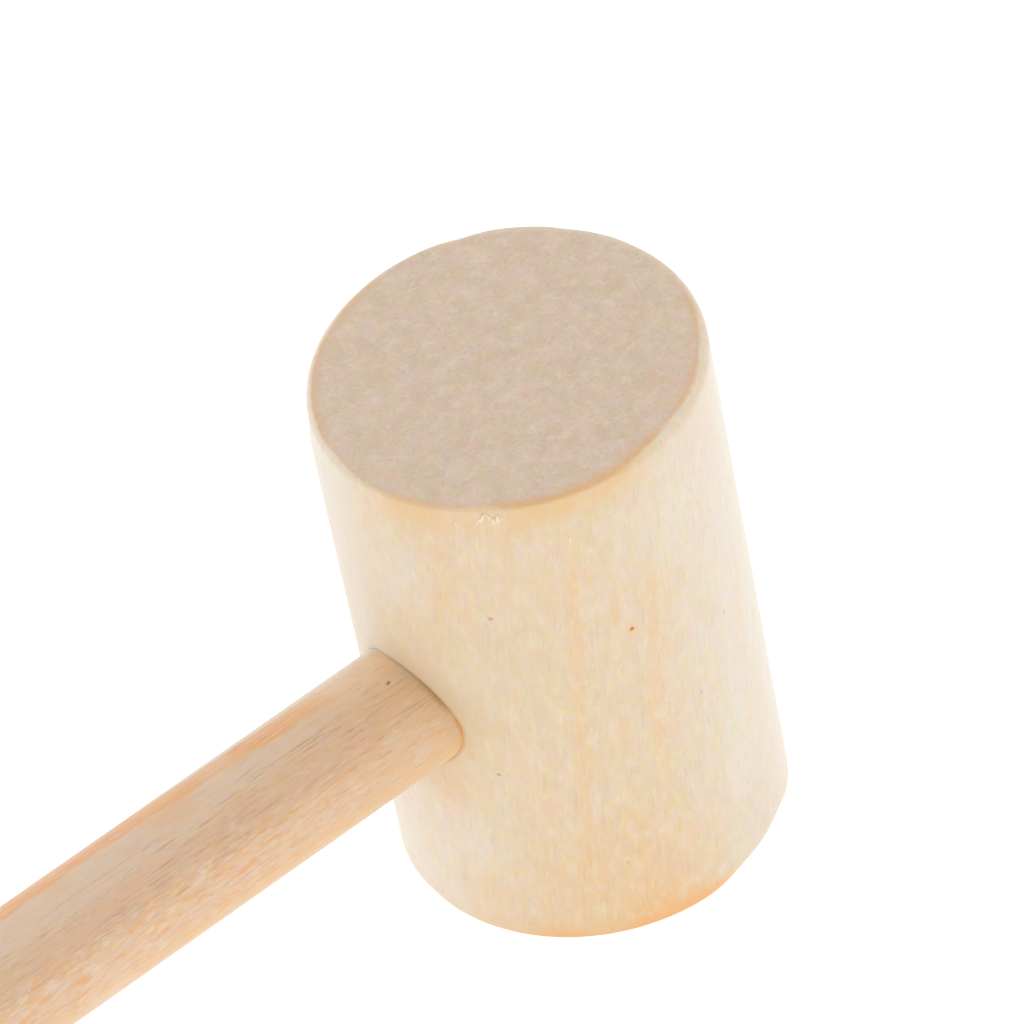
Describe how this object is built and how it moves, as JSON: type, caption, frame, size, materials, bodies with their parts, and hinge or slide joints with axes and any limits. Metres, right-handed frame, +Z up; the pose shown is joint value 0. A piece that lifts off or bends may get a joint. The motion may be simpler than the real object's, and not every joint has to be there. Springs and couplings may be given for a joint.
{
  "type": "wooden mallet",
  "caption": "Small wooden mallet with a turned cylindrical head on a straight round handle, for tapping chisels, pegs and joints.",
  "frame": {"origin": "centre of the head's lower striking face, on which the mallet stands", "axes": "+Z up the head's axis to the upper striking face, -X along the handle towards its butt, +Y to the side"},
  "size_m": [0.19, 0.04, 0.06],
  "materials": {
    "head_wood": "bare, fine-sanded pale wood, fuzzy end grain on the striking faces",
    "handle_wood": "bare, sanded tan wood with straight grain and short dark pores",
    "wedge_wood": "bare end of a darker hardwood wedge, sawn flush"
  },
  "bodies": {
    "root": {"head": "head_wood", "handle": "handle_wood", "wedge": "wedge_wood"}
  },
  "joints": []
}
